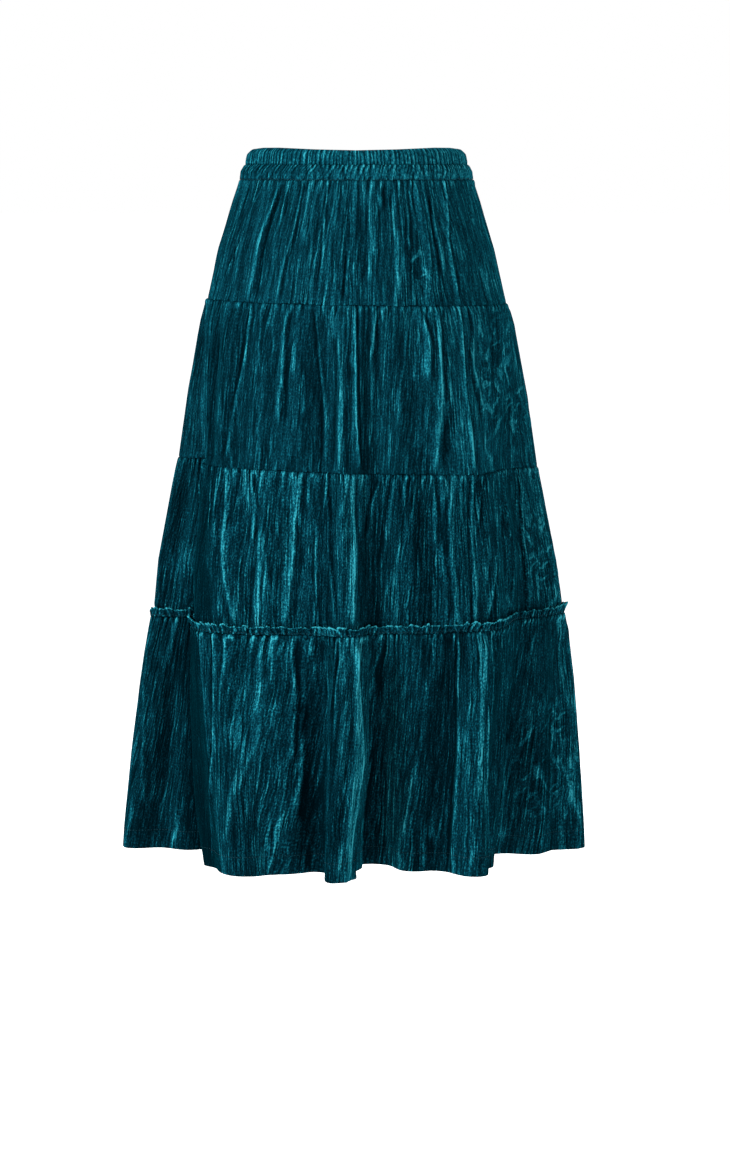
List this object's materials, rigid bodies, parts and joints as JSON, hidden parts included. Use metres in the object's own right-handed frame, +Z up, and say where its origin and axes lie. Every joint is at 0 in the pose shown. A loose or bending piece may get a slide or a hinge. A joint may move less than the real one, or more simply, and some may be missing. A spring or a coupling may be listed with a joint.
{
  "type": "gathered midi skirt",
  "caption": "Filled-out tiered midi skirt in crushed velvet: ribbed elastic waist, tiers gathered onto one another and a standing heading frill above the lowest; open at waist and hem",
  "frame": {"origin": "centre of the waist, on the skirt's axis, at half the height of the waistband: where the wearer holds the skirt up", "axes": "+Z up, -Y to the front of the skirt, +X to the wearer's left"},
  "size_m": [0.5136, 0.434, 0.7668],
  "materials": {
    "waistband_velvet": "teal velvet drawn into fine ribs by the elastic",
    "tier_velvet": "crushed teal velvet with upright crinkle and a lit pile",
    "frill_velvet": "teal velvet, gathered edge with the pile catching the light"
  },
  "bodies": {
    "root": {"waistband": "waistband_velvet", "elastic_channel": "waistband_velvet", "tier_1_front": "tier_velvet", "tier_1_back": "tier_velvet", "tier_2_front": "tier_velvet", "tier_2_back": "tier_velvet", "tier_3_front": "tier_velvet", "tier_3_back": "tier_velvet", "heading_frill_front": "frill_velvet", "heading_frill_back": "frill_velvet", "tier_4_front": "tier_velvet", "tier_4_back": "tier_velvet"}
  },
  "joints": []
}
